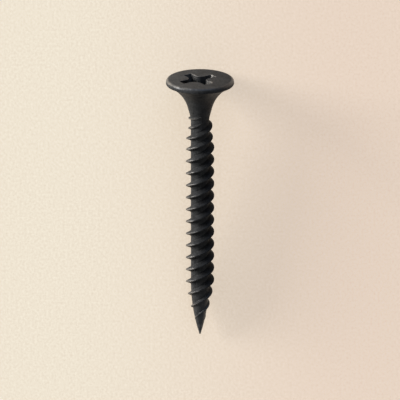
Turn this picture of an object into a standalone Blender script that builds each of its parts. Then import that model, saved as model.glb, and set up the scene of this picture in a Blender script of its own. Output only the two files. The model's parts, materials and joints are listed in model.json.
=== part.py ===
"""Drywall screw with a bugle head, a cross recess, a twin thread and a sharp point.

The screw is one piece of wire: headed, punched and thread rolled. It is modelled upright, with
its point at the origin and its axis along +Z, and is then laid down as it comes to rest on a
table: on the edge of its head and on a crest of its thread. Lengths are in metres.
"""

import math

import bmesh
import bpy
from mathutils import Matrix, Vector

# Overall
OVERALL_LENGTH = 0.0340
CORE_DIAMETER = 0.0023

# Bugle head and neck
HEAD_DIAMETER = 0.00854
RIM_HEIGHT = 0.00074
RIM_TOP_ROUND = 0.00030
RIM_UNDER_ROUND = 0.00020
BUGLE_RADIUS = 0.00475
NECK_LENGTH = 0.0052  # from the head's face to where the neck meets the core
NECK_TAPER = math.radians(15)  # between the neck's side and the axis
NECK_FILLET = 0.0040

# Cross recess
RECESS_SPAN = 0.0051  # over two opposite wings, at the head's face
RECESS_WING_WIDTH = 0.00114
RECESS_CORNER_ROUND = 0.00055
RECESS_WING_DEPTH = 0.0019
RECESS_DEPTH = 0.0025
RECESS_END_TAPER = math.radians(25)
RECESS_SIDE_TAPER = math.radians(5)
RECESS_TURN = math.radians(40)  # of the first wing, from +X
RECESS_OFF_X = -0.00024  # from the axis: the punch struck a little off centre
RECESS_OFF_Y = -0.00022

# Twin thread
THREAD_DIAMETER = 0.0036
THREAD_STARTS = 2
THREAD_PITCH = 0.0016  # from crest to crest, so the lead is this times the starts
THREAD_CREST_WIDTH = 0.00016
THREAD_ROOT_ABOVE = 0.00044  # from the crest's middle to the foot of its flank towards the head
THREAD_ROOT_BELOW = 0.00030  # and to the foot of its steeper flank towards the point
THREAD_PHASE = math.radians(-84)  # the way that the first start would face at the tip's height
THREAD_START = 0.0019  # above the tip, where the crest leaves the point
THREAD_POINT_RUN = 0.0053  # over which the crest rises to its full height
THREAD_END = 0.00475  # below the head's face, where the last crest sinks into the neck
THREAD_END_STEP = 0.0005  # by which each start ends lower than the next
THREAD_NECK_RUN = 0.0040  # over which a crest sinks
NECK_RUN_POWER = 0.45  # 1 sinks it evenly, less keeps it high and then sinks it faster
NECK_BEND = 0.0040  # below the thread's end, where the lead begins to close up
NECK_LEAD = 0.84  # the lead from there on, as a share of the full lead

# Point
POINT_LENGTH = 0.0070
TIP_DIAMETER = 0.00014
TIP_ROUND = 0.00003

# Facets
ROUND_STEPS = 40
BUGLE_STEPS = 13
POINT_STEPS = 4
FILLET_STEPS = 3
CORNER_STEPS = 4

# How far the recess's cutter stands over the face, and within what distance points are one
CUT_PROUD = 0.0003
SAME_PLACE = 0.0000005

FACE = OVERALL_LENGTH
STEP_ANGLE = 2 * math.pi / ROUND_STEPS
LEAD = THREAD_PITCH * THREAD_STARTS
CORE_RADIUS = CORE_DIAMETER / 2
THREAD_TOP = FACE - THREAD_END
NECK_END = FACE - NECK_LENGTH


def clear_scene():
    for old in list(bpy.data.objects):
        bpy.data.objects.remove(old, do_unlink=True)


def arc(centre, radius, start, end, steps):
    """Points (radius, height) along a round, from one angle to the other."""
    angles = [start + (end - start) * i / steps for i in range(steps + 1)]
    return [(centre[0] + radius * math.cos(a), centre[1] + radius * math.sin(a)) for a in angles]


def bugle_arc():
    """The arc of the head's underside: it leaves the rim and runs tangent into the neck's side.

    Gives its centre, as radius and height, and the height where it meets the neck.
    """
    rim = Vector((HEAD_DIAMETER / 2 - RIM_UNDER_ROUND, FACE - RIM_HEIGHT))
    down = Vector((-math.sin(NECK_TAPER), -math.cos(NECK_TAPER)))
    outward = Vector((math.cos(NECK_TAPER), -math.sin(NECK_TAPER)))
    off = (rim - Vector((CORE_RADIUS, NECK_END))).dot(outward)
    run = math.sqrt(BUGLE_RADIUS**2 - (BUGLE_RADIUS - off) ** 2)
    meeting = rim - outward * off + down * run
    return meeting + outward * BUGLE_RADIUS, meeting.y


def bare_radius(height):
    """The radius of the screw without its thread, from the tip to under the rim."""
    tip = TIP_DIAMETER / 2
    if height < POINT_LENGTH:
        return tip + (CORE_RADIUS - tip) * (1 - (1 - height / POINT_LENGTH) ** 2)
    centre, meeting = bugle_arc()
    if height > meeting:
        return centre.x - math.sqrt(BUGLE_RADIUS**2 - (height - centre.y) ** 2)
    in_fillet = height - NECK_END + NECK_FILLET * math.tan(NECK_TAPER / 2)
    if in_fillet <= 0:
        return CORE_RADIUS
    if in_fillet < NECK_FILLET * math.sin(NECK_TAPER):
        return CORE_RADIUS + NECK_FILLET - math.sqrt(NECK_FILLET**2 - in_fillet**2)
    return CORE_RADIUS + (height - NECK_END) * math.tan(NECK_TAPER)


def crest_share(height, start):
    """How much of its full height a start's crest has: it rises on the point, sinks at the neck."""
    rise = (height - THREAD_START) / THREAD_POINT_RUN
    end = THREAD_TOP - THREAD_END_STEP * (THREAD_STARTS - 1 - start)
    fall = max(0.0, end - height) / THREAD_NECK_RUN
    return max(0.0, min(1.0, rise, fall**NECK_RUN_POWER))


def height_on_helix(turned):
    """The height reached after an angle. The lead closes up under the neck."""
    height = LEAD * turned / (2 * math.pi)
    bend = THREAD_TOP - NECK_BEND
    return min(height, bend + (height - bend) * NECK_LEAD)


def ridge_outline(middle, start):
    """A thread ridge in section, as (radius, height): root, both corners of the crest, root.

    Past the ends of the thread it has no height, and all its points fall on the end's circle.
    """
    share = crest_share(middle, start)
    stands = (THREAD_DIAMETER - CORE_DIAMETER) / 2 * share
    half_crest = THREAD_CREST_WIDTH / 2
    below = half_crest + (THREAD_ROOT_BELOW - half_crest) * share
    above = half_crest + (THREAD_ROOT_ABOVE - half_crest) * share
    points = []
    for off, out in ((-below, 0), (-half_crest, stands), (half_crest, stands), (above, 0)):
        height = max(THREAD_START, min(THREAD_TOP, middle + off))
        points.append((bare_radius(height) + out, height))
    return points


def half_outline(angle):
    """The screw cut from its axis outwards at an angle, from the tip up to the face."""
    points = [(0, 0)]
    for i in range(POINT_STEPS):
        height = TIP_ROUND + (THREAD_START - TIP_ROUND) * i / POINT_STEPS
        points.append((bare_radius(height), height))
    most = math.ceil(FACE / THREAD_PITCH / NECK_LEAD) + THREAD_STARTS
    for ridge in range(-2 * THREAD_STARTS, most):
        turned = angle - THREAD_PHASE + ridge * 2 * math.pi / THREAD_STARTS
        points += ridge_outline(height_on_helix(turned), ridge % THREAD_STARTS)
    bugle_top = FACE - RIM_HEIGHT
    for i in range(1, BUGLE_STEPS):
        height = THREAD_TOP + (bugle_top - THREAD_TOP) * math.sin(math.pi / 2 * i / BUGLE_STEPS)
        points.append((bare_radius(height), height))
    rim = HEAD_DIAMETER / 2
    points += arc((rim - RIM_UNDER_ROUND, bugle_top + RIM_UNDER_ROUND), RIM_UNDER_ROUND,
                  -math.pi / 2, 0, FILLET_STEPS)
    points += arc((rim - RIM_TOP_ROUND, FACE - RIM_TOP_ROUND), RIM_TOP_ROUND,
                  0, math.pi / 2, FILLET_STEPS)
    return points + [(0, FACE)]


def new_object(name, bm):
    mesh = bpy.data.meshes.new(name)
    bm.to_mesh(mesh)
    bm.free()
    mesh.shade_smooth()
    mesh.set_sharp_from_angle(angle=math.radians(32))
    made = bpy.data.objects.new(name, mesh)
    bpy.context.scene.collection.objects.link(made)
    return made


def threaded_blank():
    """The whole screw but for its recess: a skin over its half outlines, all the way round.

    From one outline to the next the ridges climb by a step of the lead, so after a full turn
    each ridge meets the one that is as many above it as the thread has starts. The middle of
    a facet, not a corner, faces each of the four ways.
    """
    bm = bmesh.new()
    columns = []
    for i in range(ROUND_STEPS):
        angle = (i + 0.5) * STEP_ANGLE
        way = Vector((math.cos(angle), math.sin(angle), 0))
        up = Vector((0, 0, 1))
        columns.append([bm.verts.new(way * r + up * h) for r, h in half_outline(angle)])
    climb = THREAD_STARTS * len(ridge_outline(0, 0))
    columns.append(seam_column(columns[0], climb))
    for column, following in zip(columns, columns[1:]):
        for i in range(len(column) - 1):
            corners = (column[i], following[i], following[i + 1], column[i + 1])
            if len(set(corners)) == len(corners):
                bm.faces.new(corners)
    bmesh.ops.remove_doubles(bm, verts=bm.verts, dist=SAME_PLACE)
    bmesh.ops.recalc_face_normals(bm, faces=bm.faces)
    return new_object("drywall_screw", bm)


def seam_column(column, climb):
    """The first outline again, as the last one meets it after a turn.

    Under the thread and over it the points are the same. In the thread each is a turn higher,
    and the points left over at the top are all on its end's circle.
    """
    below = 1 + POINT_STEPS
    above = len(column) - (BUGLE_STEPS - 1) - 2 * (FILLET_STEPS + 1) - 1
    thread = column[below:above]
    return column[:below] + thread[climb:] + [thread[-1]] * climb + column[above:]


def cross_outline(depth):
    """The recess's outline at a depth below the face: four wings with round corners between."""
    reach = RECESS_SPAN / 2 - depth * math.tan(RECESS_END_TAPER)
    half = RECESS_WING_WIDTH / 2 - depth * math.tan(RECESS_SIDE_TAPER)
    corner = half + RECESS_CORNER_ROUND
    wing = [(reach, -half), (reach, half)]
    wing += arc((corner, corner), RECESS_CORNER_ROUND, -math.pi / 2, -math.pi, CORNER_STEPS)
    points = []
    for i in range(4):
        turn = Matrix.Rotation(RECESS_TURN + i * math.pi / 2, 3, "Z")
        points += [turn @ Vector((x, y, FACE - depth)) for x, y in wing]
    return points


def recess_cutter():
    """The punch that forms the recess: tapered wings, and a shallow cone for its floor."""
    bm = bmesh.new()
    top = bm.faces.new([bm.verts.new(p) for p in cross_outline(-CUT_PROUD)])
    drawn = bmesh.ops.extrude_face_region(bm, geom=[top], use_keep_orig=True)["geom"]
    floor = next(part for part in drawn if isinstance(part, bmesh.types.BMFace))
    for corner, place in zip(floor.verts, cross_outline(RECESS_WING_DEPTH)):
        corner.co = place
    middle = bmesh.ops.poke(bm, faces=[floor])["verts"][0]
    middle.co = (0, 0, FACE - RECESS_DEPTH)
    bmesh.ops.recalc_face_normals(bm, faces=bm.faces)
    cutter = new_object("recess_cutter", bm)
    cutter.location = (RECESS_OFF_X, RECESS_OFF_Y, 0)
    cutter.hide_render = True
    cutter.display_type = "WIRE"
    return cutter


def phosphated_steel():
    """Black phosphate over steel: dark, matt and hardly metallic to the eye."""
    material = bpy.data.materials.new("black_phosphated_steel")
    material.use_nodes = True
    shader = material.node_tree.nodes["Principled BSDF"]
    shader.inputs["Base Color"].default_value = (0.022, 0.022, 0.023, 1)
    shader.inputs["Metallic"].default_value = 0.35
    shader.inputs["Roughness"].default_value = 0.55
    return material


def punch(screw, cutter):
    made = screw.modifiers.new("cross_recess", "BOOLEAN")
    made.operation = "DIFFERENCE"
    made.solver = "EXACT"
    made.object = cutter


def finished_points(screw):
    """The corners of the screw once its recess is cut."""
    bpy.context.view_layer.update()
    finished = screw.evaluated_get(bpy.context.evaluated_depsgraph_get())
    return [v.co.copy() for v in finished.data.vertices]


def rest_tilt(points):
    """How far the head end rises when the screw lies on its rim and on a crest of its thread.

    Measured in the upright screw, whose +Y side will be the lower one. Of the lines that touch
    a point of the rim and a point of the shank, it finds the one that has all the others above.
    """
    head = [p for p in points if p.z > FACE - RIM_HEIGHT - SAME_PLACE and p.y > CORE_RADIUS]
    shank = [p for p in points if p.z < NECK_END and p.y > CORE_RADIUS]
    return max(min(math.atan2(h.y - p.y, h.z - p.z) for p in shank) for h in head)


def lay_down(screw, cutter):
    """Turns the upright screw onto its side, head towards +X, and sets it on the floor."""
    points = finished_points(screw)
    on_side = Matrix(((0, 0, 1), (-1, 0, 0), (0, -1, 0)))
    turn = Matrix.Rotation(-rest_tilt(points), 3, "Y") @ on_side
    lying = [turn @ p for p in points]
    along = [p.x for p in lying]
    rest = bpy.data.objects.new("rest_pose", None)
    bpy.context.scene.collection.objects.link(rest)
    rest.rotation_euler = turn.to_euler()
    rest.location = (-(min(along) + max(along)) / 2, 0, -min(p.z for p in lying))
    screw.parent = rest
    cutter.parent = rest


def main():
    clear_scene()
    screw = threaded_blank()
    screw.data.materials.append(phosphated_steel())
    cutter = recess_cutter()
    punch(screw, cutter)
    lay_down(screw, cutter)
    bpy.context.view_layer.update()


main()
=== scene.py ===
import json
import math

import bpy
from mathutils import Matrix, Vector


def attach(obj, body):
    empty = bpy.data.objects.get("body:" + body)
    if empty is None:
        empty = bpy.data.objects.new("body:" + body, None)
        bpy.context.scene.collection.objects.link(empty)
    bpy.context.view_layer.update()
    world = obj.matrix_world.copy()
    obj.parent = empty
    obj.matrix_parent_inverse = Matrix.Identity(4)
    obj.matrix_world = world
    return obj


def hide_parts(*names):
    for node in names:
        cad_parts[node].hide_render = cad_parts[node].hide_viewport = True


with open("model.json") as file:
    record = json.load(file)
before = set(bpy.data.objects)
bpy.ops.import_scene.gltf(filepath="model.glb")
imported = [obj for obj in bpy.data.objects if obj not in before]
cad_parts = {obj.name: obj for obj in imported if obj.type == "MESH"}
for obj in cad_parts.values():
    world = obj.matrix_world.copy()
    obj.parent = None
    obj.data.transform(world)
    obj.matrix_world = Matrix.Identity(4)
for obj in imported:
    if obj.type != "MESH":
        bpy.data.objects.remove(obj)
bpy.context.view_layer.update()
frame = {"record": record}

# Where the screw lies. The record's mount sits on the head's flat face, so its axis is the
# screw's own axis, and the face's middle is this far below it.
mountUp = 0.0034  # metres
headMount = frame["record"]["mounts"][0]
screwAxis = Vector(headMount["axis"]).normalized()
screwUp = Vector((-screwAxis.z, 0, screwAxis.x))
screwLeft = Vector((0, 1, 0))
faceMiddle = Vector(headMount["pos_m"]) - screwUp * mountUp

millimetre = 0.001  # in metres
hair = 0.001  # mm; two places nearer than this count as one


# Modelling helpers

def clamp(value):
    return max(0.0, min(1.0, value))


def selectOnly(piece):
    if bpy.context.mode != "OBJECT":
        bpy.ops.object.mode_set(mode="OBJECT")
    bpy.ops.object.select_all(action="DESELECT")
    piece.select_set(True)
    bpy.context.view_layer.objects.active = piece


def editAll(piece):
    selectOnly(piece)
    bpy.ops.object.mode_set(mode="EDIT")
    bpy.ops.mesh.select_mode(type="VERT")
    bpy.ops.mesh.select_all(action="SELECT")


def selectWhere(piece, part, test):
    # part is vertices, edges or polygons; test is given each one
    selectOnly(piece)
    for kind in ("vertices", "edges", "polygons"):
        for item in getattr(piece.data, kind):
            item.select = False
    mode = {"vertices": "VERT", "edges": "EDGE", "polygons": "FACE"}[part]
    bpy.ops.object.mode_set(mode="EDIT")
    bpy.ops.mesh.select_mode(type=mode)
    bpy.ops.object.mode_set(mode="OBJECT")
    for item in getattr(piece.data, part):
        item.select = test(item)
    bpy.ops.object.mode_set(mode="EDIT")


def drawOutline(name, points):
    # a plane merged to one corner, which is then extruded from point to point
    bpy.ops.object.select_all(action="DESELECT")
    bpy.ops.mesh.primitive_plane_add(size=1)
    outline = bpy.context.object
    outline.name = name
    editAll(outline)
    bpy.ops.mesh.merge(type="CENTER")
    bpy.ops.transform.translate(value=(points[0][0], 0, points[0][1]))
    for (r0, h0), (r1, h1) in zip(points, points[1:]):
        bpy.ops.mesh.extrude_region_move(TRANSFORM_OT_translate={"value": (r1 - r0, 0, h1 - h0)})
    bpy.ops.object.mode_set(mode="OBJECT")
    return outline


def spinOutline(outline, steps):
    editAll(outline)
    bpy.ops.mesh.spin(steps=steps, angle=2 * math.pi, center=(0, 0, 0), axis=(0, 0, 1))
    closeUp()
    return outline


def closeUp():
    bpy.ops.mesh.select_all(action="SELECT")
    bpy.ops.mesh.remove_doubles(threshold=hair / 2)
    bpy.ops.mesh.normals_make_consistent(inside=False)
    bpy.ops.object.mode_set(mode="OBJECT")


def applyModifier(piece, kind, **settings):
    selectOnly(piece)
    made = piece.modifiers.new(kind.lower(), kind)
    for setting, value in settings.items():
        setattr(made, setting, value)
    bpy.ops.object.modifier_apply(modifier=made.name)


def between(start, corner, end, steps):
    # a round that leaves one line and runs into the other
    points = []
    for i in range(steps + 1):
        t = i / steps
        near, mid, far = (1 - t) ** 2, 2 * t * (1 - t), t * t
        points.append((near * start[0] + mid * corner[0] + far * end[0],
                       near * start[1] + mid * corner[1] + far * end[1]))
    return points


# The screw, modelled upright in millimetres: point at the origin, axis up, front towards -Y

screw = {
    "length": 34.0,
    "core": 1.15,  # radii
    "crest": 1.8,
    "head": 4.27,
    "rim": 0.74,  # its height
    "rimTopRound": 0.40,
    "rimUnderRound": 0.20,
    "bugleRadius": 4.75,
    "neckLength": 5.2,
    "neckTaper": math.radians(15),
    "neckFillet": 4.0,
    "pointLength": 7.0,
    "tip": 0.07,  # radius
    "tipRound": 0.03,
    "tipFlat": 0.7,  # of the tip's radius is almost flat
    "tipFlatRise": 0.008,
    "columns": 160,  # of the mesh, round the axis
    "bugleRows": 44,
    "pointRows": 24,
    "rimRows": (5, 6),  # in the lower and in the upper round
    "faceCircles": (3.6, 3.3),  # radii of circles of points on the flat face, round the recess
    "smoothUpTo": math.radians(35),
}

thread = {
    "starts": 2,
    "pitch": 1.600,
    "phase": math.radians(-93.6),
    "rootAbove": 0.44,  # from the crest's middle to the flanks' feet
    "rootBelow": 0.30,
    "crestHalf": 0.08,
    "rootFillet": 0.11,
    "rootRows": 4,
    "crestRound": 0.07,
    "crestRows": 3,
    "start": 1.9,
    "pointRun": 5.3,
    "ends": (5.6, 4.65),  # of each start, below the face
    "neckRun": 4.0,
    "neckRunPower": 0.45,
    "pointBend": 6.5,  # heights over the tip, and below the thread's end, where the lead changes
    "pointLead": 1.06,
    "neckBend": 4.0,
    "neckLead": 0.84,
    "lastBend": 0.55,  # where the dies let go, the ridge runs almost level
    "lastLead": 0.5,
    "wobble": 0.135,  # the dies ran out of step, so each turn is higher on the right
    "lastWobble": 0.42,  # and the last one more so
    "lastTurn": 2.3,
    "rootShade": 0.2,  # painted shade in the roots, under the ridges' shadows
    "rootShadeFade": 3,  # it is gone a third of the way up the flank
    "coreRise": 0.01,  # share of the ridge's height that still counts as the core
    "upperFlankShade": 0.42,  # painted shade on the flanks towards the head, which lie in shadow
    "upperShadeAtFront": 0.75,  # how much of that lies at the front, and how it grows to the right
    "upperShadeToRight": 1.5,
    "wearFade": 4,  # the crest's wear reaches a quarter of the way down
    "lowWear": 0.8,  # how much of it is left where the ridge has run out
}

threadTop = screw["length"] - min(thread["ends"])
threadLead = thread["pitch"] * thread["starts"]
ridgeHeight = screw["crest"] - screw["core"]
tipPlace = faceMiddle - screwAxis * screw["length"] * millimetre


def bugleArc():
    # its centre, and the height where it runs into the neck's side
    taper, radius = screw["neckTaper"], screw["bugleRadius"]
    rim = Vector((screw["head"] - screw["rimUnderRound"], screw["length"] - screw["rim"]))
    foot = Vector((screw["core"], screw["length"] - screw["neckLength"]))
    down = Vector((-math.sin(taper), -math.cos(taper)))
    outward = Vector((math.cos(taper), -math.sin(taper)))
    off = (rim - foot).dot(outward)
    run = math.sqrt(radius ** 2 - (radius - off) ** 2)
    meeting = rim - outward * off + down * run
    return meeting + outward * radius, meeting.y


bugleCentre, bugleFoot = bugleArc()


def bareRadius(height):
    # of the screw without its thread
    if height < screw["pointLength"]:
        share = 1 - (1 - height / screw["pointLength"]) ** 2
        return screw["tip"] + (screw["core"] - screw["tip"]) * share
    if height > bugleFoot:
        return bugleCentre.x - math.sqrt(screw["bugleRadius"] ** 2 - (height - bugleCentre.y) ** 2)
    taper, fillet = screw["neckTaper"], screw["neckFillet"]
    overFoot = height - (screw["length"] - screw["neckLength"])
    inFillet = overFoot + fillet * math.tan(taper / 2)
    if inFillet <= 0:
        return screw["core"]
    if inFillet < fillet * math.sin(taper):
        return screw["core"] + fillet - math.sqrt(fillet ** 2 - inFillet ** 2)
    return screw["core"] + overFoot * math.tan(taper)


def crestShare(height, start):
    # how much of its full height the ridge has there
    rise = (height - thread["start"]) / thread["pointRun"]
    fall = max(0.0, screw["length"] - thread["ends"][start] - height) / thread["neckRun"]
    return max(0.0, min(1.0, rise, fall ** thread["neckRunPower"]))


def rolledHeight(height):
    # the lead is longer on the point, shorter under the neck and shortest at the thread's end
    foot = thread["pointBend"]
    if height < foot:
        height = foot + (height - foot) * thread["pointLead"]
    for bend, lead in (("neckBend", "neckLead"), ("lastBend", "lastLead")):
        foot = threadTop - thread[bend]
        height = min(height, foot + (height - foot) * thread[lead])
    return height


def flankOutline(root):
    # from the flank's foot on the core up to the crest's middle
    low, high = Vector((screw["core"], root)), Vector((screw["crest"], thread["crestHalf"]))
    flank = (high - low).normalized()
    foot = (screw["core"], root + thread["rootFillet"])
    points = between(foot, low, low + flank * thread["rootFillet"], thread["rootRows"])
    return points + between(high - flank * thread["crestRound"], high, (screw["crest"], 0),
                            thread["crestRows"])


def ridgeOutline():
    # one ridge and half the core on each side, as radius and height, from the top down
    outline = [(screw["core"], thread["pitch"] / 2)]
    for root, side in ((thread["rootAbove"], 1), (thread["rootBelow"], -1)):
        reach = root + thread["rootFillet"]
        half = [(screw["core"], (reach + thread["pitch"] / 2) / 2)] + flankOutline(root)
        outline += half if side > 0 else [(r, -h) for r, h in reversed(half[:-1])]
    return outline


def twinThread():
    # both ridges and the core between them are one skin, swept up along the helix
    outline = []
    for i in range(thread["starts"]):
        lift = (thread["starts"] - 1 - i) * thread["pitch"]
        outline += [(radius, height + lift) for radius, height in ridgeOutline()]
    outline.append((screw["core"], -thread["pitch"] / 2))
    skin = drawOutline("twinThread", outline)
    turns = math.ceil(screw["length"] / threadLead) + 2
    applyModifier(skin, "SCREW", axis="Z", angle=2 * math.pi, screw_offset=threadLead,
                  iterations=turns, steps=screw["columns"], render_steps=screw["columns"],
                  use_merge_vertices=False)
    settleThread(skin)
    editAll(skin)
    closeUp()
    return skin


def settleThread(skin):
    # turns the ridges to their phase, lets them run out on the point and at the neck, and
    # gathers what is left over on the circles where the thread begins and ends. It also marks
    # the painted shade and the wear, while each point's place on its ridge is known
    lift = threadLead * (1 + thread["phase"] / (2 * math.pi))
    for name in ("paintedShade", "wearAndPaintedLight"):
        skin.data.attributes.new(name, "FLOAT", "POINT")
    paintedShade, wearAndPaintedLight = (skin.data.attributes[name].data for name in ("paintedShade", "wearAndPaintedLight"))
    for vertex in skin.data.vertices:
        radius = math.hypot(vertex.co.x, vertex.co.y)
        turned = math.atan2(vertex.co.y, vertex.co.x) / (2 * math.pi)
        climbed = vertex.co.z - threadLead * turned
        start = round(climbed / thread["pitch"]) % thread["starts"]
        off = math.remainder(climbed, thread["pitch"])
        side = vertex.co.x / radius
        height = vertex.co.z - lift + thread["wobble"] * side
        late = 1 - (threadTop - height) / thread["lastTurn"]
        height += thread["lastWobble"] * max(0.0, side) * clamp(late)
        root = thread["rootAbove"] if off > 0 else thread["rootBelow"]
        beyond = abs(off) - root - thread["rootFillet"]
        if beyond < hair:
            middle = rolledHeight(height - off)
            share = crestShare(middle, start)
            crestHalf = min(abs(off), thread["crestHalf"])
            height = middle + math.copysign(crestHalf + (abs(off) - crestHalf) * share, off)
        else:
            share = 0.0
            height = rolledHeight(height)
        height = max(thread["start"], min(threadTop, height))
        settled = bareRadius(height) + (radius - screw["core"]) * share
        rise = (radius - screw["core"]) / ridgeHeight
        # painted shade, darkest in the roots where the ridge above casts its shadow
        if rise > thread["coreRise"]:
            inRoot = 1 - rise * thread["rootShadeFade"]
        else:
            inRoot = 1 - beyond / thread["rootFillet"]
        flankShade = 0.0
        # painted shade on the upper flanks, growing to the right, the shaded side
        if off > 0:
            spread = thread["upperShadeAtFront"] + thread["upperShadeToRight"] * side
            flankShade = thread["upperFlankShade"] * clamp(spread)
        paintedShade[vertex.index].value = (thread["rootShade"] * clamp(inRoot) + flankShade) * share
        rubbed = max(0.0, 1 - (1 - rise) * thread["wearFade"])
        wearAndPaintedLight[vertex.index].value = rubbed * min(1.0, thread["lowWear"] + share)
        vertex.co = (vertex.co.x * settled / radius, vertex.co.y * settled / radius, height)


def rimRound(middle, radius, start, end, steps):
    angles = [start + (end - start) * i / steps for i in range(steps + 1)]
    return [(middle[0] + radius * math.cos(a), middle[1] + radius * math.sin(a)) for a in angles]


def buglehead():
    # neck, bugle, rim and flat face, closed underneath for now so that the recess can be cut
    face, rim, rows = screw["length"], screw["head"], screw["bugleRows"]
    bugleTop = face - screw["rim"]
    heights = [threadTop + (bugleTop - threadTop) * math.sin(math.pi / 2 * i / rows)
               for i in range(rows)]
    outline = [(bareRadius(height), height) for height in heights]
    under, top = screw["rimUnderRound"], screw["rimTopRound"]
    underRows, topRows = screw["rimRows"]
    outline += rimRound((rim - under, bugleTop + under), under, -math.pi / 2, 0, underRows)
    outline += rimRound((rim - top, face - top), top, 0, math.pi / 2, topRows)
    outline += [(radius, face) for radius in screw["faceCircles"]]
    head = spinOutline(drawOutline("bugleHead", outline), screw["columns"])
    selectWhere(head, "edges", lambda edge: isOpen(head, edge))
    bpy.ops.mesh.edge_face_add()
    bpy.ops.object.mode_set(mode="OBJECT")
    return head


def isOpen(piece, edge):
    # the first and last circles of the outline
    heights = [piece.data.vertices[i].co.z for i in edge.vertices]
    radii = [math.hypot(*piece.data.vertices[i].co.xy) for i in edge.vertices]
    level = abs(heights[0] - heights[1]) < hair
    low = heights[0] < threadTop + hair
    inner = max(radii) < screw["faceCircles"][-1] + hair
    return level and (low or inner and heights[0] > screw["length"] - hair)


def point():
    # the bare point below the thread
    low, rows = screw["tipRound"], screw["pointRows"]
    outline = [(0, 0), (screw["tip"] * screw["tipFlat"], screw["tipFlatRise"])]
    for i in range(rows + 1):
        height = low + (thread["start"] - low) * i / rows
        outline.append((bareRadius(height), height))
    return spinOutline(drawOutline("point", outline), screw["columns"])


# The cross recess: a punch with four tapered wings and a pointed floor

recess = {
    "span": 4.85,  # over two wings, at the face
    "wingWidth": 1.14,
    "cornerRounds": {(1, 1): 0.5, (1, -1): 0.7, (-1, -1): 1.0, (-1, 1): 0.85},  # back one first
    "roundRows": 8,
    "wingDepth": 1.9,
    "depth": 2.5,
    "endTaper": math.radians(25),
    "sideTaper": math.radians(5),
    "turn": math.radians(34),
    "offCentre": (-0.30, -0.08),
    "proud": 0.3,  # how far the punch stands over the face
    "mouthRound": 0.05,
    "lipWear": 0.28,  # the bit has worn the front right wing's right lip back to a slope,
    "lipWearFrom": 1.2,  # from so far out along the wing
    "skin": 0.2,  # there is at least this much steel round the recess
    "wallRows": (0.12, 0.3, 0.7, 1.2),  # cuts round the walls, below the face
    "wallColumns": (0.15, 1.65, 2.0),  # and across the wings, from the middle
}


def punch():
    face, half = screw["length"], recess["wingWidth"] / 2
    proud, deep = recess["proud"], recess["wingDepth"]
    top, bottom = face + proud, face - deep
    topHalf = half + proud * math.tan(recess["sideTaper"])
    topReach = recess["span"] / 2 + proud * math.tan(recess["endTaper"])
    lowHalf = half - deep * math.tan(recess["sideTaper"])
    lowReach = recess["span"] / 2 - deep * math.tan(recess["endTaper"])
    bpy.ops.object.select_all(action="DESELECT")
    bpy.ops.mesh.primitive_cube_add(size=1, location=(0, 0, (top + bottom) / 2))
    cutter = bpy.context.object
    cutter.name = "punch"
    cutter.scale = (topHalf * 2, topHalf * 2, top - bottom)
    selectOnly(cutter)
    bpy.ops.object.transform_apply(location=True, rotation=False, scale=True)
    selectWhere(cutter, "polygons", lambda side: abs(side.normal.z) < 0.5)
    bpy.ops.mesh.extrude_faces_move(TRANSFORM_OT_shrink_fatten={"value": topReach - topHalf})
    # both tapers, at the lower end
    pull = {"orient_type": "GLOBAL", "center_override": (0, 0, bottom)}
    selectWhere(cutter, "vertices", lambda v: v.co.z < bottom + hair)
    bpy.ops.transform.resize(value=(lowHalf / topHalf, lowHalf / topHalf, 1), **pull)
    shrunk = topReach * lowHalf / topHalf
    for axis in (0, 1):
        values = [1, 1, 1]
        values[axis] = lowReach / shrunk
        selectWhere(cutter, "vertices",
                    lambda v: v.co.z < bottom + hair and abs(v.co[axis]) > shrunk - hair)
        bpy.ops.transform.resize(value=values, **pull)
    cutWalls(cutter, face)
    for corner, radius in recess["cornerRounds"].items():
        selectWhere(cutter, "edges", lambda edge: isInner(cutter, edge, topHalf + hair, corner))
        bpy.ops.mesh.bevel(offset=radius, segments=recess["roundRows"], affect="EDGES",
                           offset_type="OFFSET")
    # the pointed floor
    selectWhere(cutter, "polygons", lambda side: side.normal.z < -0.9)
    bpy.ops.mesh.dissolve_faces()
    bpy.ops.mesh.poke(offset=recess["depth"] - recess["wingDepth"])
    bpy.ops.mesh.select_all(action="SELECT")
    bpy.ops.transform.rotate(value=-recess["turn"], orient_axis="Z", center_override=(0, 0, 0))
    bpy.ops.transform.translate(value=(*recess["offCentre"], 0))
    bpy.ops.mesh.normals_make_consistent(inside=False)
    bpy.ops.object.mode_set(mode="OBJECT")
    return cutter


def cutWalls(cutter, face):
    # rows and columns of points, for the marks of wear and oil to lie on
    cuts = [((0, 0, face - depth), (0, 0, 1)) for depth in recess["wallRows"]]
    for away in recess["wallColumns"]:
        cuts += [((away * x, away * y, 0), (x, y, 0)) for x, y in ((1, 0), (-1, 0), (0, 1), (0, -1))]
    for place, normal in cuts:
        bpy.ops.mesh.select_all(action="SELECT")
        bpy.ops.mesh.bisect(plane_co=place, plane_no=normal)
    bpy.ops.object.mode_set(mode="OBJECT")


def isInner(cutter, edge, reach, corner):
    # the upright edges in one corner between two wings, well away from both axes
    ends = [cutter.data.vertices[i].co for i in edge.vertices]
    upright = abs(ends[0].z - ends[1].z) > hair
    least = recess["wingWidth"] / 6
    return upright and all(least < end[axis] * corner[axis] < reach for end in ends for axis in (0, 1))


def onFace(piece, item):
    return all(abs(piece.data.vertices[i].co.z - screw["length"]) < hair for i in item.vertices)


def mouthEdges(head):
    # they lie between the face and the recess's walls
    walls = {}
    for face in head.data.polygons:
        for key in face.edge_keys:
            walls.setdefault(key, []).append(face.normal.z > 0.99)
    inside = screw["faceCircles"][-1]
    return {edge.key for edge in head.data.edges
            if sorted(walls[edge.key]) == [False, True] and onFace(head, edge)
            and all(math.hypot(*head.data.vertices[i].co.xy) < inside for i in edge.vertices)}


def isWornLip(head, edge):
    places = [inRecess(head.data.vertices[i].co) for i in edge.vertices]
    wall, near = recess["wingWidth"] / 2, recess["lipWear"] / 2
    return all(abs(place.x - wall) < near and place.y < -recess["lipWearFrom"] for place in places)


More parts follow.
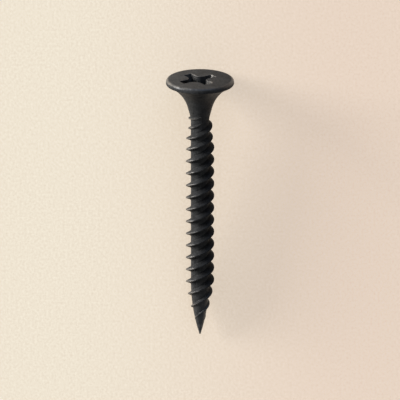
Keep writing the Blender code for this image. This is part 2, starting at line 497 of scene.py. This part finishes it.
def inRecess(spot):
    # the same place in the recess's own axes: +X along the back right wing, +Y the back left
    place = Vector((spot.x - recess["offCentre"][0], spot.y - recess["offCentre"][1]))
    place.rotate(Matrix.Rotation(-recess["turn"], 2))
    return place


def punchHead(head, cutter):
    applyModifier(head, "BOOLEAN", operation="DIFFERENCE", solver="EXACT", object=cutter)
    bpy.data.objects.remove(cutter)
    mouth = mouthEdges(head)
    selectWhere(head, "edges", lambda edge: edge.key in mouth and isWornLip(head, edge))
    bpy.ops.mesh.bevel(offset=recess["lipWear"], segments=1, affect="EDGES")
    bpy.ops.object.mode_set(mode="OBJECT")
    mouth = mouthEdges(head)
    selectWhere(head, "edges", lambda edge: edge.key in mouth)
    bpy.ops.mesh.bevel(offset=recess["mouthRound"], segments=3, affect="EDGES")
    # the floor that closed the neck comes out again
    selectWhere(head, "polygons",
                lambda face: face.normal.z < -0.99 and face.center.z < threadTop + hair)
    bpy.ops.mesh.delete(type="FACE")
    bpy.ops.object.mode_set(mode="OBJECT")


def joinPieces(name, pieces):
    bpy.ops.object.select_all(action="DESELECT")
    for piece in pieces:
        piece.select_set(True)
    bpy.context.view_layer.objects.active = pieces[0]
    bpy.ops.object.join()
    joined = bpy.context.object
    joined.name = name
    editAll(joined)
    closeUp()
    return joined


# Where the screw has painted shade, gloss, wear and painted light. Right and left are the upright
# screw's, from the front
marks = {
    "headFilm": 0.15,  # how much of the oil film's gloss each place has
    "threadFilm": 0.05,
    "rimFilm": 1.0,
    "crestFilm": 0.35,
    "pointFilm": 0.8,
    "faceFilmToLeft": 0.6,  # how the film grows over the flat face to the left,
    "pointFilmToRight": 0.5,  # and over the point to the right
    "rightSideShade": 0.5,  # painted shade on the right side, away from the light
    "threadShadeShift": 0.35,  # how much further right that begins on the thread and on the point
    "pointShadeShift": 2.0,
    "wearCutOnShadedSide": 0.8,  # how much less the thread and the rim are worn on the right, the shaded side, so that their paler worn lines, partly painted highlight, stay on the lit left
    "wearCutAtFront": 0.6,
    "rimWear": 1.0,  # how far each place is rubbed bare
    "pointPaintedPaleness": 0.75,
    "bitWear": 1.0,
    "paintedLitWall": 0.6,  # painted light: paler steel on the walls of the back left wing and on its end, which look lit
    "paintedLitEnd": 0.8,
    "litWallSpan": (-2 / 3, 4 / 3),  # mm from the middle, across that wing
    "litWallFade": 3,  # per mm
    "rubbedLip": (0.3, 1.15),  # mm to the right and along the front right wing
    "endWallBand": 0.12,  # mm; nearer to a wing's end than this counts as its end wall
    "recessShadeAtMouth": 0.1,  # painted shade in the recess, at its mouth and more for each mm down
    "recessShadePerDepth": 0.45,
    "frontLeftWingShade": 0.7,  # more painted shade in the front left wing, which lies in shadow
    "shadedWingFrom": 0.9,  # mm from the middle
    "shadedWingEdge": 0.6,  # mm
}


def markSurface(piece):
    # wearAndPaintedLight: 1 where the coating is rubbed through, and where paler steel is painted in
    # as light. paintedShade: 1 where near-black shade is painted in. film: 1 where handling has spread
    # the oil to a glossy film
    face, rim, top = screw["length"], screw["head"], screw["rimTopRound"]
    film = piece.data.attributes.new("film", "FLOAT", "POINT")
    wearAndPaintedLight, paintedShade = piece.data.attributes["wearAndPaintedLight"], piece.data.attributes["paintedShade"]
    for vertex in piece.data.vertices:
        radius, height = math.hypot(vertex.co.x, vertex.co.y), vertex.co.z
        wornAndLit, shadeHere = wearAndPaintedLight.data[vertex.index].value, paintedShade.data[vertex.index].value
        glossy = marks["headFilm"]
        side = vertex.co.x / (rim if height > face - hair else max(radius, hair))
        if height < threadTop:
            # wear kept mostly to the lit left: real wear, partly painted highlight
            wornAndLit *= 1 - marks["wearCutOnShadedSide"] * clamp(marks["wearCutAtFront"] + side)
            glossy = marks["threadFilm"] + wornAndLit * marks["crestFilm"]
            onPoint = max(0.0, 1 - height / screw["pointLength"])
            # painted light: the point is made paler steel, as if it reflected a pale floor under it
            wornAndLit = max(wornAndLit, marks["pointPaintedPaleness"] * onPoint)
            glossy += marks["pointFilm"] * onPoint * (1 + marks["pointFilmToRight"] * side)
            side -= marks["threadShadeShift"] + marks["pointShadeShift"] * onPoint
        elif radius > rim - top and height > face - screw["rim"]:
            # the rim's upper round, most where it faces outwards and up
            lean = math.atan2(height - face + top, radius - rim + top)
            if 0 < lean < math.pi / 2:
                wornAndLit = marks["rimWear"] * math.sin(2 * lean)
                # the rim's wear too is kept mostly to the lit left
                wornAndLit *= 1 - marks["wearCutOnShadedSide"] * (1 + side) / 2
                glossy += (marks["rimFilm"] - glossy) * math.sin(2 * lean)
        elif height > face - hair:
            glossy *= 1 - marks["faceFilmToLeft"] * side
        elif height > face - 2 * recess["mouthRound"]:
            wornAndLit = 1.0
        elif radius < bareRadius(min(height, face - screw["rim"])) - recess["skin"]:
            # painted shade down in the recess, less where painted light is
            recessShade, wornAndLit = insideRecess(inRecess(vertex.co), face - height)
            shadeHere = max(recessShade, shadeHere)
            glossy, side = 0.0, -1.0
        # painted shade on the right side, away from the light
        rightSideShade = marks["rightSideShade"] * max(0.0, 1 + side) / 2
        wearAndPaintedLight.data[vertex.index].value = min(1.0, wornAndLit)
        film.data[vertex.index].value = min(1.0, glossy)
        paintedShade.data[vertex.index].value = min(1.0, rightSideShade + shadeHere)


def insideRecess(place, depth):
    # its painted shade and its wear. The driver's bit has rubbed the back half of the back right
    # wing's end and the wall under the worn lip bare, placed where a glint and a lit patch show, so
    # partly painted highlight; the back left wing's walls get painted light as paler steel
    endWall = recess["span"] / 2 - depth * math.tan(recess["endTaper"]) - marks["endWallBand"]
    lipRight, lipFront = marks["rubbedLip"]
    rubbed = place.x > endWall and place.y > 0 or place.x > lipRight and place.y < -lipFront
    inShadedWing = clamp((-place.x - marks["shadedWingFrom"]) / marks["shadedWingEdge"])
    paintedShade = marks["recessShadeAtMouth"] + marks["recessShadePerDepth"] * depth + marks["frontLeftWingShade"] * inShadedWing
    (litWallLeft, litWallRight), fade = marks["litWallSpan"], marks["litWallFade"]
    across = clamp((place.x - litWallLeft) * fade) * clamp((litWallRight - place.x) * fade)
    paintedLitWall = marks["paintedLitWall"] * across * clamp(place.y * fade)
    if place.y > endWall:
        paintedLitWall = marks["paintedLitWall"] * marks["paintedLitEnd"]
    wornAndLit = max(float(rubbed), paintedLitWall)
    return min(1.0, paintedShade) * (1 - wornAndLit), marks["bitWear"] * wornAndLit


def layDown(piece):
    # millimetres to metres, and from upright to where the CAD screw lies
    turn = Matrix((-screwLeft, -screwUp, screwAxis)).transposed().to_4x4()
    scale = Matrix.Scale(millimetre, 4)
    piece.matrix_world = Matrix.Translation(tipPlace) @ turn @ scale
    selectOnly(piece)
    bpy.ops.object.transform_apply(location=True, rotation=True, scale=True)
    bpy.ops.object.shade_smooth_by_angle(angle=screw["smoothUpTo"])
    # the flat face stays evenly lit up to its edges
    applyModifier(piece, "WEIGHTED_NORMAL", keep_sharp=True)


head = buglehead()
punchHead(head, punch())
print("head and recess", len(head.data.polygons))
screwPiece = joinPieces("phosphated_drywall_screw", [twinThread(), head, point()])
markSurface(screwPiece)
layDown(screwPiece)
print("screw", len(screwPiece.data.polygons))


# Looks

# Black zinc phosphate on the cold-formed steel, dyed and wiped with oil: a crust of dull
# charcoal crystals, mottled where it took the oil unevenly, worn to grey steel on the thread's
# crests, the rim and the mouth of the recess. Shade is painted in as near black, and light as paler
# steel.
phosphate = {
    "dark": "#242425",
    "pale": "#595958",
    # the near black of painted shade
    "shadedCrust": "#0b0b0c",
    "steel": "#918d88",
    "crystal": 0.24,  # mm; the real crystals, 5 to 20 thousandths of a mm, wouldn't show
    "blotch": 0.9,  # mm
    "streakWidth": 0.22,  # mm, drawn along the wire by the dies
    "streakLength": 3.0,  # mm
    "crystalShare": 0.35,  # of the mottle from dark to pale
    "blotchShare": 0.45,
    "streakShare": 0.2,
    "crystalSpread": (0.3, 0.7),  # between which values of its noise each one shows
    "blotchSpread": (0.32, 0.68),
    "streakSpread": (0.35, 0.65),
    "paintedShadeShare": 0.92,  # of the near-black painted shade where the painted shade mark is 1
    "shine": 0.05,
    "wearShare": 0.9,  # the parts of the wear mark and of the blotches in the wear,
    "wearBlotches": 1.1,
    "wearLeast": 0.75,  # and what is taken off their sum
    "bareFrom": 0.35,  # where that wear begins to show steel, and where it shows the most
    "bareAt": 0.75,
    "bareMost": 0.85,
    "rough": (0.45, 0.70),  # from the dark crystals to the pale ones
    "steelRough": 0.5,
    "filmPatches": (1.5, 0.5),  # the film lies unevenly on the crystals
    "filmRough": 0.36,
    "bump": 0.016,  # mm
    "bumpStrength": 0.5,
    "streakBump": 0.6,  # beside the crystals' 1
}


def hexColour(code):
    # sRGB to linear
    values = [int(code[i:i + 2], 16) / 255 for i in (1, 3, 5)]
    return (*(v / 12.92 if v <= 0.04045 else ((v + 0.055) / 1.055) ** 2.4 for v in values), 1)


def perMetre(size):
    # a texture's scale for a detail of that many millimetres
    return 1000 / size


def addNode(tree, kind, inputs=(), **settings):
    node = tree.nodes.new("ShaderNode" + kind)
    for setting, value in settings.items():
        setattr(node, setting, value)
    for socket, value in dict(inputs).items():
        if isinstance(value, bpy.types.NodeSocket):
            tree.links.new(value, node.inputs[socket])
        else:
            node.inputs[socket].default_value = value
    return node


def noise(tree, place, size, detail, roughness):
    return addNode(tree, "TexNoise", {"Vector": place, "Scale": perMetre(size), "Detail": detail,
                                      "Roughness": roughness}).outputs[0]


def remap(tree, value, start, end, first=0.0, last=1.0, **settings):
    return addNode(tree, "MapRange", {0: value, 1: start, 2: end, 3: first, 4: last},
                   **settings).outputs[0]


def calculate(tree, operation, *values, **settings):
    return addNode(tree, "Math", dict(enumerate(values)), operation=operation, **settings).outputs[0]


def mixColours(tree, share, first, second):
    return addNode(tree, "Mix", {0: share, 6: first, 7: second}, data_type="RGBA").outputs[2]


def newMaterial(name):
    material = bpy.data.materials.new(name)
    material.use_nodes = True
    return material, material.node_tree, material.node_tree.nodes["Principled BSDF"]


def blackPhosphate():
    material, tree, shader = newMaterial("black_phosphate_on_steel")
    wearAndLightMark, paintedShadeMark, filmMark = (addNode(tree, "Attribute", attribute_name=name).outputs["Fac"]
                                   for name in ("wearAndPaintedLight", "paintedShade", "film"))
    place = addNode(tree, "TexCoord").outputs["Object"]
    tilt = math.atan2(screwAxis.z, screwAxis.x)
    along = addNode(tree, "Mapping", {"Vector": place, "Rotation": (0, tilt, 0)}).outputs[0]
    squeeze = phosphate["streakWidth"] / phosphate["streakLength"]
    drawn = addNode(tree, "Mapping", {"Vector": along, "Scale": (squeeze, 1, 1)}).outputs[0]
    crystals = noise(tree, place, phosphate["crystal"], detail=4, roughness=0.6)
    blotches = noise(tree, place, phosphate["blotch"], detail=5, roughness=0.6)
    streaks = noise(tree, drawn, phosphate["streakWidth"], detail=3, roughness=0.5)
    fine = remap(tree, crystals, *phosphate["crystalSpread"])
    broad = remap(tree, blotches, *phosphate["blotchSpread"])
    lines = remap(tree, streaks, *phosphate["streakSpread"])

    shade = calculate(tree, "MULTIPLY", fine, phosphate["crystalShare"])
    shade = calculate(tree, "MULTIPLY_ADD", broad, phosphate["blotchShare"], shade)
    shade = calculate(tree, "MULTIPLY_ADD", lines, phosphate["streakShare"], shade)
    crust = mixColours(tree, shade, hexColour(phosphate["dark"]), hexColour(phosphate["pale"]))
    # painted shade: the crust is darkened towards near black by the painted shade mark
    shadeAmount = calculate(tree, "MULTIPLY", paintedShadeMark, phosphate["paintedShadeShare"])
    shadedCrust = mixColours(tree, shadeAmount, crust, hexColour(phosphate["shadedCrust"]))

    # the wear and its painted light are broken up by the blotches
    wornAndLit = calculate(tree, "MULTIPLY_ADD", wearAndLightMark, phosphate["wearShare"], -phosphate["wearLeast"])
    wornAndLit = calculate(tree, "MULTIPLY_ADD", blotches, phosphate["wearBlotches"], wornAndLit)
    bare = remap(tree, wornAndLit, phosphate["bareFrom"], phosphate["bareAt"], 0.0, phosphate["bareMost"])
    colour = mixColours(tree, bare, shadedCrust, hexColour(phosphate["steel"]))
    rough = remap(tree, fine, 0.0, 1.0, *phosphate["rough"])
    roughness = addNode(tree, "Mix", {0: bare, 2: rough, 3: phosphate["steelRough"]}).outputs[0]

    patches = remap(tree, fine, 0.0, 1.0, *phosphate["filmPatches"])
    film = calculate(tree, "MULTIPLY", filmMark, patches, use_clamp=True)
    height = calculate(tree, "MULTIPLY_ADD", streaks, phosphate["streakBump"], crystals)
    bump = addNode(tree, "Bump", {"Height": height, "Strength": phosphate["bumpStrength"],
                                  "Distance": phosphate["bump"] * millimetre}).outputs[0]
    shader.inputs["Specular IOR Level"].default_value = phosphate["shine"]
    shader.inputs["Coat Roughness"].default_value = phosphate["filmRough"]
    for socket, output in (("Base Color", colour), ("Metallic", bare), ("Coat Weight", film),
                           ("Roughness", roughness), ("Normal", bump)):
        tree.links.new(output, shader.inputs[socket])
    return material


screwPiece.data.materials.clear()
screwPiece.data.materials.append(blackPhosphate())
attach(screwPiece, "root")
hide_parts("drywall_screw")
print("finish", screwPiece.data.materials[0].name)


# Floor, light and camera

stage = {
    "leftPaper": "#e7ddc9",
    "rightPaper": "#dfccba",
    "fibreShade": "#b9a48e",
    "reach": 0.020,  # metres from the middle to where the paper has its full shade
    "fibre": 0.3,  # mm
    "fibreSpread": (0.3, 0.7),
    "mottle": 0.35,
    "paperRough": 0.9,
    "paperShine": 0.2,
    "floorSize": 4.0,
    "floorGlow": 0.78,
    "lamps": {  # from where: right, back and up on the upright screw
        "keyLight": {"strength": 3.5, "width": math.radians(28), "colour": "#ffffff",
                     "from": (-0.915, -0.11, 0.365)},
        "overheadLight": {"strength": 0.5, "width": math.radians(50), "colour": "#a9ccff",
                          "from": (0.10, -0.30, 0.95)},
    },
    "fill": "#7a7b7e",
}


def onScrew(x, y, z):
    # a direction on the upright screw, as it is now that the screw lies
    return -screwLeft * x - screwUp * y + screwAxis * z


def seenRay(tree):
    # 1 for what the camera sees, straight or in a reflection, and 0 for the light itself
    path = addNode(tree, "LightPath").outputs
    mirrored = calculate(tree, "MAXIMUM", path["Is Glossy Ray"], path["Is Transmission Ray"])
    return calculate(tree, "MAXIMUM", path["Is Camera Ray"], mirrored)


def paperColour(tree):
    # warm white paper, paler on the side of the light, with a faint mottle of fibres
    place = addNode(tree, "TexCoord").outputs["Object"]
    across = addNode(tree, "SeparateXYZ", {0: place}).outputs["Y"]
    side = remap(tree, across, -stage["reach"], stage["reach"], interpolation_type="SMOOTHSTEP")
    sheet = mixColours(tree, side, hexColour(stage["rightPaper"]), hexColour(stage["leftPaper"]))
    fibres = noise(tree, place, stage["fibre"], detail=4, roughness=0.65)
    faint = remap(tree, fibres, *stage["fibreSpread"], 0.0, stage["mottle"])
    return mixColours(tree, faint, sheet, hexColour(stage["fibreShade"]))


def makeFloor():
    bpy.ops.object.select_all(action="DESELECT")
    lowest = min(v.co.z for v in screwPiece.data.vertices)
    bpy.ops.mesh.primitive_plane_add(size=stage["floorSize"], location=(0, 0, lowest))
    floor = bpy.context.object
    floor.name = "floor"
    material, tree, shader = newMaterial("pale paper")
    shader.inputs["Roughness"].default_value = stage["paperRough"]
    shader.inputs["Specular IOR Level"].default_value = stage["paperShine"]
    colour = paperColour(tree)
    glow = calculate(tree, "MULTIPLY", seenRay(tree), stage["floorGlow"])
    tree.links.new(glow, shader.inputs["Emission Strength"])
    tree.links.new(colour, shader.inputs["Emission Color"])
    tree.links.new(colour, shader.inputs["Base Color"])
    floor.data.materials.append(material)


def lightScene():
    for name, lamp in stage["lamps"].items():
        bpy.ops.object.light_add(type="SUN")
        sun = bpy.context.object
        sun.name = name
        sun.data.energy = lamp["strength"]
        sun.data.angle = lamp["width"]
        sun.data.color = hexColour(lamp["colour"])[:3]
        sun.rotation_euler = onScrew(*lamp["from"]).to_track_quat("Z", "Y").to_euler()
    world = bpy.data.worlds.new("studio")
    world.use_nodes = True
    bpy.context.scene.world = world
    world.node_tree.nodes["Background"].inputs["Color"].default_value = hexColour(stage["fill"])


view = {
    "elevation": math.radians(19.1),  # over the plane of the head's face, as in the photo
    "distance": 0.8,
    "width": 0.050331,  # of what the picture takes in, at the screw
    "upAxis": 0.017954,  # from the tip to what is in the picture's middle
    "sensor": 36,  # mm
    "nearest": 0.05,
    "farthest": 5,
}


def makeCamera():
    toCamera = onScrew(0, -math.cos(view["elevation"]), math.sin(view["elevation"]))
    toTop = onScrew(0, math.sin(view["elevation"]), math.cos(view["elevation"]))
    toRight = onScrew(1, 0, 0)
    target = tipPlace + screwAxis * view["upAxis"]
    bpy.ops.object.camera_add()
    camera = bpy.context.object
    camera.name = "camera"
    turn = Matrix((toRight, toTop, toCamera)).transposed().to_4x4()
    camera.matrix_world = Matrix.Translation(target + toCamera * view["distance"]) @ turn
    camera.data.sensor_width = view["sensor"]
    camera.data.lens = view["sensor"] * view["distance"] / view["width"]
    camera.data.clip_start = view["nearest"]
    camera.data.clip_end = view["farthest"]
    bpy.context.scene.camera = camera


makeFloor()
lightScene()
makeCamera()
bpy.context.scene.view_settings.view_transform = "Standard"

print("scene made")
